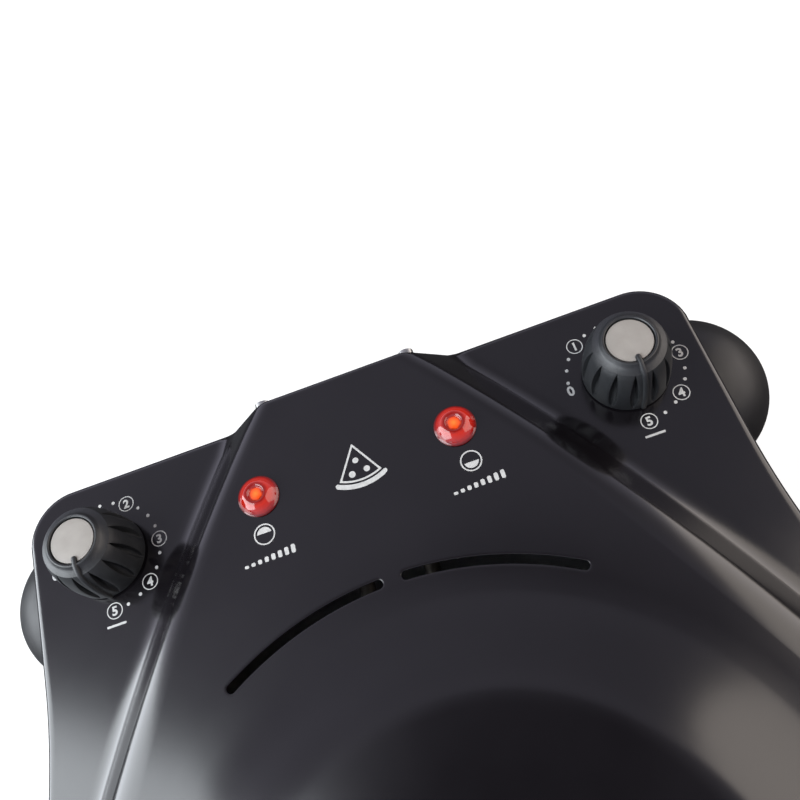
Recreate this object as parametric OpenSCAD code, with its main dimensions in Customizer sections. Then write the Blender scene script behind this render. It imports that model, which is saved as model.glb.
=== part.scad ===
// Electric pizza maker: a round steel oven with a baking stone and a hinged lid.
// Sizes are in millimetres. Z = 0 is the table, +Y is the hinge side, X = 0 is the
// mirror plane, and the pieces are laid out around the axis of the round pan.

/* [Base pan] */
// Radius of the round base pan
body_r = 172; // [160:1:186]
// Height of the pan's rim above the table
rim_z = 104; // [100:1:125]
// Height of the feet
foot_h = 18; // [12:1:24]
// Radius of a foot at its top
foot_r = 14; // [10:0.5:17]
// Radius of the pan's bottom edge
pan_edge_r = 24; // [12:1:34]
// Thickness of the painted steel sheet
sheet = 1.2; // [0.8:0.1:1.8]
// Thickness of the bright steel sheet inside
liner_t = 0.8; // [0.6:0.1:1.2]

/* [Oven floor] */
// Gap between the baking stone's edge and the lower reflector
stone_gap = 6; // [5:0.5:30]
// Thickness of the baking stone
stone_t = 13; // [8:0.5:15]
// How far the stone's top lies below the rim
stone_drop = 4; // [2:0.5:8]
// Height of the lower reflector's floor above the pan's floor
liner_lift = 28; // [20:1:32]
// Radius of the bend in the lower reflector
liner_edge_r = 16; // [10:1:22]
// Gap between the lower reflector and the pan's wall
liner_gap = 7; // [4:0.5:10]

/* [Heating elements] */
// Radius of the metal tube of both elements
tube_r = 3.3; // [2.5:0.1:4]
// Radius of the lower element's ring
lower_ring_r = 118; // [90:1:125]
// Radius of the upper element's ring
upper_ring_r = 112; // [90:1:118]
// Half the distance between an element's two ends
tube_end_x = 14; // [10:0.5:18]
// Height of the lower element above the reflector's floor
lower_ring_lift = 16; // [11:0.5:18]
// Distance of the upper element under the reflector's ceiling
upper_ring_drop = 14; // [10:0.5:18]

/* [Lid] */
// How far the lid reaches past the pan all round
lid_overhang = 4; // [2:0.5:8]
// Gap between the pan's rim and the lid
lid_gap = 2; // [1.5:0.1:4]
// Height of the lid's side wall
lid_side_h = 42; // [38:1:50]
// Height of the raised middle above the ears
ear_drop = 18; // [14:1:24]
// Full width over the two ears
ear_w = 304; // [296:1:312]
// Distance of the rear face behind the lid's round rim
ear_depth = 52.5; // [46:0.5:58]
// Radius of the ears' rear corners
corner_r = 22; // [12:1:28]
// Width of the sloping shoulder between the round rim and the raised middle
shoulder_w = 28; // [22:1:34]
// Width of the sloping wall beside the raised middle, seen from above
wall_run = 15; // [10:0.5:18]
// Half width of the raised middle at the rear face
middle_half_w = 32; // [24:1:40]
// Radius of the raised middle's long side edges
middle_bow_r = 850; // [600:10:1200]
// Distance of the dome's foot inside the edge of the raised middle
dome_inset = 19; // [17:1:30]
// Radius of the dome's flat top
dome_top_r = 88; // [70:1:96]
// Height of the dome above the raised middle
dome_rise = 9; // [5:0.5:12]
// Distance of the vent slots inside the edge of the raised middle
slot_inset = 11; // [8:0.5:13]
// Width of a vent slot
slot_w = 3.5; // [2.5:0.1:4.5]
// Angle from the middle plane to a slot's near end
slot_start = 2.3; // [2:0.1:4]
// Angle from the middle plane to a slot's far end
slot_end = 30.2; // [24:0.1:34]
// Depth of the upper reflector's ceiling under the raised middle
ceiling_drop = 14; // [12:0.5:17]

/* [Controls] */
// Distance of a knob's axis from the ear's side edge
knob_edge_x = 35; // [32:0.5:38]
// Distance of a knob's axis from the rear face
knob_edge_y = 36.5; // [32:0.5:38]
// Radius of a knob near its foot
knob_r = 18; // [15:0.5:20]
// Height of a knob
knob_h = 28; // [22:0.5:32]
// Radius of the pale disc in a knob
disc_r = 9.4; // [8:0.1:10]
// Number of grooves around a knob
groove_count = 13; // [10:1:16]
// Turn of a knob's pointer from the front at rest
pointer_turn = 0; // [0:1:270]
// Radius of a thermostat's spindle
spindle_r = 3; // [2.5:0.1:3.5]
// Side of a thermostat's square body
thermostat_w = 32; // [26:1:36]
// Height of a thermostat's body
thermostat_h = 20; // [16:1:24]
// Distance of a pilot lamp from the middle plane
lamp_x = 42; // [34:0.5:50]
// Distance of a pilot lamp from the rear face
lamp_edge_y = 41.5; // [37:0.5:45]
// Radius of a pilot lamp's lens
lens_r = 8.6; // [7.5:0.1:9.5]
// Height of a pilot lamp's lens
lens_h = 5; // [3.5:0.1:7]
// Radius of a pilot lamp's barrel
lamp_barrel_r = 6.2; // [5:0.1:6.5]
// Length of a pilot lamp's barrel under the sheet
lamp_barrel_h = 22; // [16:1:26]

/* [Hinge] */
// Distance of the hinge axis from the rear face
hinge_edge_y = 33.5; // [30:0.5:36]
// Distance of the hinge axis below the pan's rim
hinge_drop = 20; // [19:0.5:24]
// Radius of the round hinge caps
cap_r = 38; // [30:0.5:40]
// Wall thickness of the moulded plastic pieces
moulding_t = 3; // [2.2:0.1:3.5]
// Radius of the hinge block's barrel
barrel_r = 18; // [15:0.5:18.5]
// Radius of a hinge pin
pin_r = 4; // [3:0.1:5]
// Distance of a hinge arm's middle from the ear's side edge
arm_edge_x = 32; // [28:1:42]
// Width of a hinge arm's knuckle
knuckle_w = 16; // [12:1:18]
// Thickness of a hinge arm's foot plate
arm_plate_t = 3; // [2:0.1:3.2]

/* [Handle] */
// Distance from the lid's side wall to the grip
finger_gap = 30; // [26:1:38]
// Radius of the round grip
grip_r = 9.5; // [8:0.5:12]
// Angle that the grip spans around the pan's axis
grip_angle = 34; // [28:1:44]
// Radius of a handle post
post_r = 6; // [5:0.5:7]
// Angle of a handle post from the middle plane
post_angle = 12; // [9:0.5:13]

/* [Fits] */
// Radial clearance of a turning pin or spindle in its bore
run_fit = 0.05; // [0.03:0.01:0.09]
// Radial clearance of a piece fixed in its hole
fixed_fit = 0.1; // [0.05:0.01:0.2]
// Gap between pieces that pass each other
pass_gap = 1; // [0.6:0.1:1.2]

/* [Hidden] */
$fn = 96;

steel = "silver";
black = "#201f22";
overlap = 0.01;

// Heights, from the table upwards
pan_floor_z = foot_h + sheet;
liner_floor_z = pan_floor_z + liner_lift;
liner_z = liner_floor_z - liner_t;
stone_top_z = rim_z - stone_drop;
stone_z = stone_top_z - stone_t;
lower_ring_z = liner_floor_z + lower_ring_lift;
lid_z = rim_z + lid_gap;
ear_z = lid_z + lid_side_h;
middle_z = ear_z + ear_drop;
ceiling_z = middle_z - ceiling_drop;
upper_ring_z = ceiling_z - upper_ring_drop;
hinge_z = rim_z - hinge_drop;
cover_z = lid_z + 1;
cover_top_z = cover_z + sheet;
grip_z = lid_z + lid_side_h / 2;

// Radii and places around the pan's axis
lid_r = body_r + lid_overhang;
lid_in_r = lid_r - sheet;
liner_r = body_r - sheet - liner_gap;
liner_in_r = liner_r - liner_t;
middle_r = lid_r - shoulder_w;
dome_r = middle_r - dome_inset;
slot_r = middle_r - slot_inset;
stone_r = liner_in_r - stone_gap;
rear_y = lid_r + ear_depth;
hinge_y = rear_y - hinge_edge_y;
flare_y = hinge_y - cap_r - 7;
knob_x = ear_w / 2 - knob_edge_x;
knob_y = rear_y - knob_edge_y;
lamp_y = rear_y - lamp_edge_y;
ear_x = ear_w / 2;
arm_x = ear_x - arm_edge_x;
grip_ring_r = lid_r + finger_gap + grip_r;

// The box over the whole oven is centred on the origin
front_reach = grip_ring_r + grip_r;
rear_reach = hinge_y + cap_r;
axis_y = (front_reach - rear_reach) / 2;
module placed() {
    translate([0, axis_y, 0]) children();
}

// A piece and its mirror image, and the side that a name stands for
module both_sides() {
    for (side = [-1, 1]) scale_x(side) children();
}
module scale_x(side) {
    mirror([side < 0 ? 1 : 0, 0, 0]) children();
}

// Points along an arc, without its last point
function arc(centre, r, from, to, steps) = [
    for (i = [0 : steps - 1])
        let (a = from + (to - from) * i / steps)
        [centre[0] + r * cos(a), centre[1] + r * sin(a)]
];

// A right half outline, read from the rear to the front, closed by its mirror image
function mirrored(half) = concat(
    half,
    [for (i = [len(half) - 1 : -1 : 0]) if (half[i][0] > 0.001) [-half[i][0], half[i][1]]]
);

// Outline of the lid: ears with round corners, flaring forward into the round rim
flare_r = (ear_x * ear_x + flare_y * flare_y - lid_r * lid_r) / (2 * (lid_r - ear_x));
flare_angle = atan2(flare_y, ear_x + flare_r);
function lid_outline(inset) = mirrored(concat(
    arc([ear_x - corner_r, rear_y - corner_r], corner_r - inset, 90, 0, 10),
    arc([ear_x + flare_r, flare_y], flare_r + inset, 180, 180 + flare_angle, 10),
    arc([0, 0], lid_r - inset, flare_angle, -90, 44),
    [[0, -(lid_r - inset)]]
));

// Outline of the raised middle, widened by a margin: a bowed side edge that runs from
// the rear face into the circle around the dome
corner_dist = norm([middle_half_w, rear_y]);
bow_reach = (2 * middle_bow_r * middle_r - middle_r * middle_r - corner_dist * corner_dist)
    / (2 * (middle_bow_r - middle_r));
bow_angle = atan2(rear_y, middle_half_w) - acos(bow_reach / corner_dist);
bow_centre = -(middle_bow_r - middle_r) * [cos(bow_angle), sin(bow_angle)];
function middle_outline(margin, inset) =
    let (
        r = middle_bow_r + margin,
        y = rear_y - inset,
        start = asin((y - bow_centre[1]) / r)
    )
    mirrored(concat(
        arc(bow_centre, r, start, bow_angle, 12),
        arc([0, 0], middle_r + margin, bow_angle, -90, 36),
        [[0, -(middle_r + margin)]]
    ));

// Solid of the raised middle between its sloping walls, with a softened top edge
edge_steps = [[0, 0], [0.83, 0.83], [0.955, 1], [1, 1.17]];
module middle_solid(inset) {
    hull() for (step = edge_steps) {
        margin = wall_run * (1 - step[1]) - inset;
        z = ear_z + (step == edge_steps[0] ? -sheet - 1 : ear_drop * step[0] - inset);
        translate([0, 0, z - overlap])
            linear_extrude(overlap) polygon(middle_outline(margin, inset));
    }
}

// Solid of the dome, from below the raised middle up to its flat top
module dome_solid(inset) {
    foot = middle_z - inset;
    rotate_extrude() polygon([
        [0, foot - sheet - 2], [dome_r - inset, foot - sheet - 2], [dome_r - inset, foot],
        [dome_top_r + 6 - inset, foot + dome_rise * 0.83],
        [dome_top_r - 4 - inset, foot + dome_rise * 0.95], [0, foot + dome_rise]
    ]);
}

// Outline of a round dish from its axis to its wall, with a bent edge
module dish_profile(r, edge_r, bottom, top) {
    translate([0, bottom + edge_r]) square([r, top - bottom - edge_r]);
    translate([0, bottom]) square([r - edge_r, edge_r + overlap]);
    intersection() {
        translate([r - edge_r, bottom + edge_r]) circle(edge_r);
        translate([0, bottom]) square([r, edge_r + overlap]);
    }
}
module dish(r, edge_r, bottom, top, wall) {
    rotate_extrude() difference() {
        dish_profile(r, edge_r, bottom, top);
        dish_profile(r - wall, edge_r - wall, bottom + wall, top + 1);
    }
}

// Cylinder along a horizontal direction, from one distance to another
module bar_x(r, from, to, y, z) {
    translate([from, y, z]) rotate([0, 90, 0]) cylinder(r = r, h = to - from);
}
module bar_y(r, from, to, x, z) {
    translate([x, from, z]) rotate([-90, 0, 0]) cylinder(r = r, h = to - from);
}
module bar_z(r, from, to, x, y) {
    translate([x, y, from]) cylinder(r = r, h = to - from);
}

// Stretch of a ring around the pan's axis, given by its section at radius and height
module ring_stretch(from, to) {
    rotate([0, 0, from]) rotate_extrude(angle = to - from) children();
}
module ring_piece(middle, width) {
    ring_stretch(middle - width / 2, middle + width / 2) children();
}

/* Base */

// The front feet stand at the edge of the pan's flat floor, the rear ones in the
// corners of the hinge block
front_foot_ring_r = body_r - pan_edge_r - foot_r + 1.9;
front_foot_angle = 42.6;
rear_foot_edge_x = 24;
rear_foot_edge_y = 20;
front_foot_x = front_foot_ring_r * cos(front_foot_angle);
front_foot_y = -front_foot_ring_r * sin(front_foot_angle);
rear_foot_x = ear_x - rear_foot_edge_x;
rear_foot_y = hinge_y - rear_foot_edge_y;
foot_places = [
    [-front_foot_x, front_foot_y], [front_foot_x, front_foot_y],
    [-rear_foot_x, rear_foot_y], [rear_foot_x, rear_foot_y]
];
foot_screw_r = 2;
foot_screw_hole_r = foot_screw_r + fixed_fit;
tube_hole_r = tube_r + 0.7;
tube_x = [-tube_end_x, tube_end_x];

module base_shell() {
    color(black) placed() difference() {
        dish(body_r, pan_edge_r, foot_h, rim_z, sheet);
        for (x = tube_x) bar_y(tube_hole_r, 0, body_r + 5, x, lower_ring_z);
        for (p = [foot_places[0], foot_places[1]])
            bar_z(foot_screw_hole_r, 0, pan_floor_z + 1, p[0], p[1]);
    }
}

// The bright dish hangs on the pan's rim, with its edge crimped down outside
crimp_h = 4;
module base_liner() {
    color(steel) placed() difference() {
        union() {
            dish(liner_r, liner_edge_r, liner_z, rim_z + liner_t, liner_t);
            rotate_extrude() {
                translate([liner_r - overlap, rim_z])
                    square([body_r + 0.3 + liner_t - liner_r + overlap, liner_t]);
                translate([body_r + 0.3, rim_z - crimp_h])
                    square([liner_t, crimp_h + liner_t]);
            }
        }
        for (x = tube_x) bar_y(tube_hole_r, 0, liner_r + 5, x, lower_ring_z);
    }
}

stone_chamfer = 1.5;
module baking_stone() {
    color("burlywood") placed() rotate_extrude() polygon([
        [0, stone_z], [stone_r - stone_chamfer, stone_z],
        [stone_r, stone_z + stone_chamfer], [stone_r, stone_top_z - stone_chamfer],
        [stone_r - stone_chamfer, stone_top_z], [0, stone_top_z]
    ]);
}

rest_t = 1.5;
rest_span = 11;
rest_reach = 7;
rest_drop = 16;
module stone_rests() {
    color(steel) placed() for (a = [45 : 90 : 315]) ring_piece(a, rest_span) {
        translate([stone_r - rest_reach, stone_z - rest_t])
            square([liner_in_r - fixed_fit - stone_r + rest_reach, rest_t]);
        translate([liner_in_r - fixed_fit - rest_t, stone_z - rest_drop])
            square([rest_t, rest_drop]);
    }
}

// A tubular element: an open ring whose two ends run straight to the rear. Bends in
// tubes and wires, and the grip's round ends, swell a little.
bend_swell = 0.1;
module element(ring_r, z, end_y) {
    gap = asin(tube_end_x / ring_r);
    translate([0, 0, z]) ring_stretch(90 + gap, 450 - gap)
        translate([ring_r, 0]) circle(tube_r);
    for (x = tube_x) {
        translate([x, ring_r * cos(gap), z]) sphere(tube_r + bend_swell);
        bar_y(tube_r, ring_r * cos(gap), end_y, x, z);
    }
}

// A holder that stands or hangs on a reflector and lets the element's tube through
module element_holder(ring_r, z, from, to) {
    difference() {
        translate([ring_r - tube_r - 1.5, -4, from]) cube([2 * tube_r + 3, 8, to - from]);
        rotate_extrude() translate([ring_r, z]) circle(tube_r + fixed_fit);
    }
}

lower_end_y = body_r + 10;
module lower_element() {
    color("dimgray") placed() element(lower_ring_r, lower_ring_z, lower_end_y);
}
module lower_element_saddles() {
    color(steel) placed() for (a = [30, 150, 270]) rotate([0, 0, a])
        element_holder(lower_ring_r, lower_ring_z, liner_floor_z, lower_ring_z + tube_r + 1.2);
}

// Hinge block: a moulded box behind the pan whose top rear edge is the hinge barrel
block_front_y = flare_y - 20;
block_rear_y = hinge_y + 13;
barrel_top = 2.5;
pin_in_x = arm_x - knuckle_w / 2 - 20;
pin_out_x = ear_x + 13;
block_cover_t = 2;
block_seat_r = body_r + 0.4;
bushing_x = ear_x - 52;
bushing_r = 6.5;
bushing_z = foot_h + 10;
block_room_top = hinge_z - barrel_r - moulding_t;
gland_hole_r = bushing_r + fixed_fit;
module hinge_block() {
    color(black) placed() difference() {
        union() {
            translate([-ear_x, block_front_y, foot_h])
                cube([ear_w, block_rear_y - block_front_y, hinge_z - foot_h]);
            bar_x(barrel_r, -ear_x, ear_x, hinge_y, hinge_z);
        }
        // seat around the pan
        bar_z(block_seat_r, 0, rim_z, 0, 0);
        // room inside, open at the bottom
        difference() {
            translate([moulding_t - ear_x, block_front_y + moulding_t, foot_h - 1])
                cube([
                    ear_w - 2 * moulding_t,
                    block_rear_y - block_front_y - 2 * moulding_t,
                    block_room_top - foot_h + 1
                ]);
            bar_z(block_seat_r + moulding_t, 0, rim_z, 0, 0);
        }
        bar_x(barrel_r - moulding_t - 1, -pin_in_x + 6, pin_in_x - 6, hinge_y, hinge_z);
        // pockets for the lid's knuckles, open to the rear and the top
        both_sides() {
            x = arm_x - knuckle_w / 2 - pass_gap;
            w = knuckle_w + 2 * pass_gap;
            bar_x(barrel_r + 0.6, x, x + w, hinge_y, hinge_z);
            translate([x, hinge_y, hinge_z - barrel_r - 0.6])
                cube([w, barrel_r + 4, 2 * barrel_r + 4]);
        }
        both_sides() bar_x(pin_r + fixed_fit, pin_in_x, ear_x + 1, hinge_y, hinge_z);
        for (x = tube_x) bar_y(tube_hole_r, 0, lower_end_y + 8, x, lower_ring_z);
        bar_y(gland_hole_r, block_rear_y - 10, block_rear_y + 1, bushing_x, bushing_z);
    }
}

module block_cover_outline(margin) {
    difference() {
        translate([-ear_x + margin, block_front_y + margin])
            square([ear_w - 2 * margin, block_rear_y - block_front_y - 2 * margin]);
        circle(block_seat_r + margin);
    }
}
module hinge_block_cover() {
    color(black) placed() difference() {
        translate([0, 0, foot_h]) linear_extrude(block_cover_t)
            block_cover_outline(moulding_t + fixed_fit);
        for (p = [foot_places[2], foot_places[3]])
            bar_z(foot_screw_hole_r, 0, foot_h + 10, p[0], p[1]);
    }
}

// Domed cap on each end of the hinge, clear of the lid's side by a small gap
cap_x = ear_x + pass_gap;
cap_boss_r = 9;
module hinge_cap() {
    difference() {
        union() {
            difference() {
                translate([cap_x, hinge_y, hinge_z]) sphere(cap_r);
                translate([cap_x, hinge_y, hinge_z]) sphere(cap_r - moulding_t);
                translate([cap_x - 2 * cap_r, hinge_y - 2 * cap_r, hinge_z - 2 * cap_r])
                    cube([2 * cap_r, 4 * cap_r, 4 * cap_r]);
            }
            bar_x(cap_boss_r, ear_x, cap_x + cap_r - moulding_t + 1, hinge_y, hinge_z);
        }
        bar_x(pin_r + fixed_fit, ear_x - 1, pin_out_x + fixed_fit, hinge_y, hinge_z);
    }
}
module left_hinge_cap() {
    color(black) placed() scale_x(-1) hinge_cap();
}
module right_hinge_cap() {
    color(black) placed() hinge_cap();
}
module hinge_pins() {
    color(steel) placed() both_sides()
        bar_x(pin_r, pin_in_x + fixed_fit, pin_out_x, hinge_y, hinge_z);
}

terminal_size = [44, 14, 10];
block_terminal_y = body_r + 16;
module terminal_block(y, z) {
    difference() {
        translate([-terminal_size[0] / 2, y - terminal_size[1] / 2, z]) cube(terminal_size);
        for (x = [-5, 5]) bar_z(1.8, z + 4, z + terminal_size[2] + 1, x, y);
    }
}
module base_terminal_block() {
    color("ivory") placed() terminal_block(block_terminal_y, foot_h + block_cover_t);
}

wire_r = 1.5;
base_terminal_z = foot_h + block_cover_t + terminal_size[2];
module base_wiring() {
    color("firebrick") placed() for (x = tube_x) {
        bar_z(wire_r, base_terminal_z, lower_ring_z, x, block_terminal_y);
        translate([x, block_terminal_y, lower_ring_z]) sphere(wire_r + bend_swell);
        bar_y(wire_r, lower_end_y, block_terminal_y, x, lower_ring_z);
    }
}

module cord_bushing() {
    color(black) placed() difference() {
        union() {
            bar_y(bushing_r + 3, block_rear_y, block_rear_y + 3, bushing_x, bushing_z);
            bar_y(bushing_r, block_rear_y - moulding_t - 5, block_rear_y, bushing_x, bushing_z);
        }
        bar_y(3.8, block_rear_y - 20, block_rear_y + 20, bushing_x, bushing_z);
    }
}

foot_head_r = 4;
foot_recess = 6;
module feet() {
    color(black) placed() for (p = foot_places) difference() {
        translate([p[0], p[1], 0]) cylinder(r1 = foot_r - 2, r2 = foot_r, h = foot_h);
        bar_z(foot_screw_hole_r, -1, foot_h + 1, p[0], p[1]);
        bar_z(foot_head_r + 1, -1, foot_recess, p[0], p[1]);
    }
}
module foot_screws() {
    color(steel) placed() for (p = foot_places) {
        bar_z(foot_head_r, foot_recess - 2.5, foot_recess, p[0], p[1]);
        bar_z(foot_screw_r, foot_recess - overlap, pan_floor_z + 4, p[0], p[1]);
    }
}

/* Lid */

rear_screw_x = middle_half_w + 1;
rear_screw_z = middle_z - 8;
rear_screw_r = 1.6;
lamp_hole_r = lamp_barrel_r + fixed_fit;
collar_r = spindle_r + 1.8;
collar_hole_r = collar_r + fixed_fit;
handle_screw_r = 2;

module lid_solid(inset) {
    translate([0, 0, inset > 0 ? lid_z - 1 : lid_z])
        linear_extrude(lid_side_h - inset + (inset > 0 ? 1 : 0)) polygon(lid_outline(inset));
    middle_solid(inset);
    dome_solid(inset);
}
module vent_slot() {
    bottom = middle_z - 8;
    ring_stretch(90 - slot_end, 90 - slot_start)
        translate([slot_r - slot_w / 2, bottom]) square([slot_w, 20]);
    for (a = [90 - slot_end, 90 - slot_start])
        bar_z(slot_w / 2, bottom, bottom + 20, slot_r * cos(a), slot_r * sin(a));
}
module lid_shell() {
    color(black) placed() difference() {
        lid_solid(0);
        lid_solid(sheet);
        both_sides() {
            vent_slot();
            bar_z(lamp_hole_r, middle_z - 9, middle_z + 9, lamp_x, lamp_y);
            bar_z(collar_hole_r, ear_z - 9, ear_z + 9, knob_x, knob_y);
            bar_y(rear_screw_r + fixed_fit, rear_y - 5, rear_y + 5, rear_screw_x, rear_screw_z);
            rotate([0, 0, post_angle])
                bar_y(handle_screw_r + fixed_fit, -lid_r - 5, 5 - lid_r, 0, grip_z);
        }
    }
}

// Upper reflector: a shallow inverted dish with a flat brim at the lid's lower edge
brim_z = cover_z + 1;
brim_in_r = liner_in_r - 2;
brim_r = lid_in_r - 0.4;
reflector_slope_run = 30;
ceiling_r = brim_in_r - reflector_slope_run;
module lid_liner() {
    color(steel) placed() difference() {
        rotate_extrude() polygon([
            [0, ceiling_z], [ceiling_r, ceiling_z], [brim_in_r, brim_z], [brim_r, brim_z],
            [brim_r, brim_z + liner_t], [brim_in_r + 0.6, brim_z + liner_t],
            [ceiling_r + 0.5, ceiling_z + liner_t], [0, ceiling_z + liner_t]
        ]);
        for (x = tube_x) bar_y(tube_hole_r, 0, body_r, x, upper_ring_z);
    }
}

shield_in_r = lid_in_r + 0.4;
shield_span = 84;
module heat_shield() {
    color(steel) placed() difference() {
        ring_piece(90, shield_span) {
            translate([brim_r - 5, brim_z + liner_t]) square([shield_in_r - brim_r + 5, 1]);
            translate([shield_in_r, brim_z + liner_t])
                square([1, ear_z - sheet - 0.5 - brim_z - liner_t]);
        }
        for (x = tube_x) bar_y(tube_hole_r, 0, lid_r + 5, x, upper_ring_z);
    }
}

upper_end_y = lid_r + 10;
module upper_element() {
    color("dimgray") placed() element(upper_ring_r, upper_ring_z, upper_end_y);
}
module upper_element_hangers() {
    color(steel) placed() for (a = [30, 150, 270]) rotate([0, 0, a])
        element_holder(upper_ring_r, upper_ring_z, upper_ring_z - tube_r - 1.2, ceiling_z);
}

// Cover under the control space, with two tabs that its rear screws hold
cover_in_r = shield_in_r + 2;
cover_front_inset = 47;
cover_front_y = body_r - cover_front_inset;
tab_w = 6;
rear_screw_reach = 8;
module control_cover() {
    color(steel) placed() difference() {
        union() {
            translate([0, 0, cover_z]) linear_extrude(sheet) difference() {
                polygon(lid_outline(sheet + fixed_fit));
                circle(cover_in_r);
                translate([-body_r * 2, cover_front_y - body_r * 4])
                    square([body_r * 4, body_r * 4]);
            }
            both_sides() translate([
                rear_screw_x - tab_w / 2, rear_y - 2 * sheet - fixed_fit, cover_top_z - overlap
            ]) cube([tab_w, sheet, rear_screw_z + 2.2 - cover_top_z]);
        }
        both_sides() {
            bar_y(rear_screw_r + fixed_fit, rear_y - 9, rear_y + 9, rear_screw_x, rear_screw_z);
            for (x = arm_screw_x)
                bar_z(arm_screw_r + fixed_fit, lid_z - 3, cover_top_z + 1, x, hinge_y);
        }
    }
}
module cover_screws() {
    color(steel) placed() both_sides() {
        bar_y(rear_screw_r, rear_y - rear_screw_reach, rear_y + 0.5, rear_screw_x, rear_screw_z);
        bar_y(rear_screw_r * 2.1, rear_y, rear_y + 2.5, rear_screw_x, rear_screw_z);
    }
}

// Hinge arm: foot plate under the control cover, neck, and knuckle around the pin
arm_plate_w = knuckle_w + 24;
arm_plate_d = 34;
arm_neck_d = 24;
arm_screw_r = 2;
arm_screw_x = [arm_x - knuckle_w / 2 - 6, arm_x + knuckle_w / 2 + 6];
arm_plate_z = cover_z - arm_plate_t;
knuckle_r = barrel_r - 1;
module hinge_arm() {
    x = arm_x - knuckle_w / 2;
    difference() {
        union() {
            translate([arm_x - arm_plate_w / 2, hinge_y - arm_plate_d / 2, arm_plate_z])
                cube([arm_plate_w, arm_plate_d, arm_plate_t]);
            translate([x, hinge_y - arm_neck_d / 2, hinge_z])
                cube([knuckle_w, arm_neck_d, arm_plate_z - hinge_z + 1]);
            bar_x(knuckle_r, x, x + knuckle_w, hinge_y, hinge_z);
        }
        bar_x(pin_r + run_fit, x - 1, x + knuckle_w + 1, hinge_y, hinge_z);
        for (sx = arm_screw_x)
            bar_z(arm_screw_r + fixed_fit, arm_plate_z - 1, cover_z + 1, sx, hinge_y);
    }
}
module left_hinge_arm() {
    color("dimgray") placed() scale_x(-1) hinge_arm();
}
module right_hinge_arm() {
    color("dimgray") placed() hinge_arm();
}
module arm_screws() {
    color(steel) placed() both_sides() for (x = arm_screw_x) {
        bar_z(arm_screw_r, arm_plate_z - 0.2, cover_top_z + 3, x, hinge_y);
        bar_z(arm_screw_r + 1.6, cover_top_z, cover_top_z + 1.8, x, hinge_y);
    }
}

// Thermostat: ceramic body under the ear, steel plate, and the collar for its spindle
thermostat_top = ear_z - sheet;
module thermostat() {
    plate = thermostat_w + 8;
    difference() {
        union() {
            translate([knob_x - plate / 2, knob_y - 8, thermostat_top - 1.5])
                cube([plate, 16, 1.5]);
            translate([
                knob_x - thermostat_w / 2, knob_y - thermostat_w / 2,
                thermostat_top - 1.5 - thermostat_h
            ]) cube([thermostat_w, thermostat_w, thermostat_h]);
            bar_z(collar_r, thermostat_top - 1, ear_z + 2.5, knob_x, knob_y);
        }
        bar_z(spindle_r + run_fit, spindle_foot_z - 0.3, ear_z + 9, knob_x, knob_y);
    }
}
spindle_foot_z = thermostat_top - thermostat_h + 4;
module left_thermostat() {
    color("ivory") placed() scale_x(-1) thermostat();
}
module right_thermostat() {
    color("ivory") placed() thermostat();
}

// Pilot lamp: stepped lens on top of the sheet, barrel and nut under it
module lamp_lens() {
    stem_z = middle_z - sheet - 2;
    translate([lamp_x, lamp_y, 0]) rotate_extrude() polygon([
        [0, middle_z + lens_h - 1], [lens_r * 0.3, middle_z + lens_h - 1],
        [lens_r * 0.42, middle_z + lens_h], [lens_r * 0.62, middle_z + lens_h * 0.9],
        [lens_r * 0.86, middle_z + lens_h * 0.55], [lens_r, middle_z + 1.2],
        [lens_r, middle_z], [lamp_barrel_r, middle_z], [lamp_barrel_r, stem_z],
        [0, stem_z]
    ]);
}
module left_lamp_lens() {
    color("red") placed() scale_x(-1) lamp_lens();
}
module right_lamp_lens() {
    color("red") placed() lamp_lens();
}
module lamp_holder() {
    top = middle_z - sheet - 2;
    bar_z(lamp_barrel_r, top - lamp_barrel_h, top, lamp_x, lamp_y);
    for (x = [-2.5, 2.5]) translate([lamp_x + x - 0.4, lamp_y - 2, top - lamp_barrel_h - 7])
        cube([0.8, 4, 7.1]);
}
module left_lamp_holder() {
    color(black) placed() scale_x(-1) lamp_holder();
}
module right_lamp_holder() {
    color(black) placed() lamp_holder();
}
module lamp_nuts() {
    top = middle_z - sheet;
    color(steel) placed() both_sides() difference() {
        bar_z(lens_r + 0.6, top - 3.5, top, lamp_x, lamp_y);
        bar_z(lamp_barrel_r + fixed_fit, top - 9, top + 1, lamp_x, lamp_y);
    }
}

lid_terminal_y = (lid_r + rear_y) / 2 + 5;
lid_terminal_z = cover_top_z + terminal_size[2];
module lid_terminal_block() {
    color("ivory") placed() terminal_block(lid_terminal_y, cover_top_z);
}

// Wires: from the terminal block to the element's ends, the lamps and the thermostats
lamp_tail_z = middle_z - sheet - 2 - lamp_barrel_h;
thermostat_foot_z = thermostat_top - 1.5 - thermostat_h;
wire_z = (lid_terminal_z + thermostat_foot_z) / 2;
wire_run_y = lid_terminal_y;
module bend(x, y, z) {
    translate([x, y, z]) sphere(wire_r + bend_swell);
}
module lid_wiring() {
    color("firebrick") placed() both_sides() {
        bar_z(wire_r, lid_terminal_z, wire_z, 9, wire_run_y);
        bend(9, wire_run_y, wire_z);
        bar_x(wire_r, 9, knob_x, wire_run_y, wire_z);
        bend(knob_x, wire_run_y, wire_z);
        bar_y(wire_r, knob_y, wire_run_y, knob_x, wire_z);
        bend(knob_x, knob_y, wire_z);
        bar_z(wire_r, wire_z, thermostat_foot_z, knob_x, knob_y);
        bar_y(wire_r, lamp_y + 5, wire_run_y, lamp_x, wire_z);
        bend(lamp_x, lamp_y + 5, wire_z);
        bar_z(wire_r, wire_z, lamp_tail_z, lamp_x, lamp_y + 5 - overlap);
        bar_z(wire_r, wire_z, upper_ring_z, tube_end_x, wire_run_y);
        bend(tube_end_x, wire_run_y, upper_ring_z);
        bar_y(wire_r, upper_end_y, wire_run_y, tube_end_x, upper_ring_z);
    }
}

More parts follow.
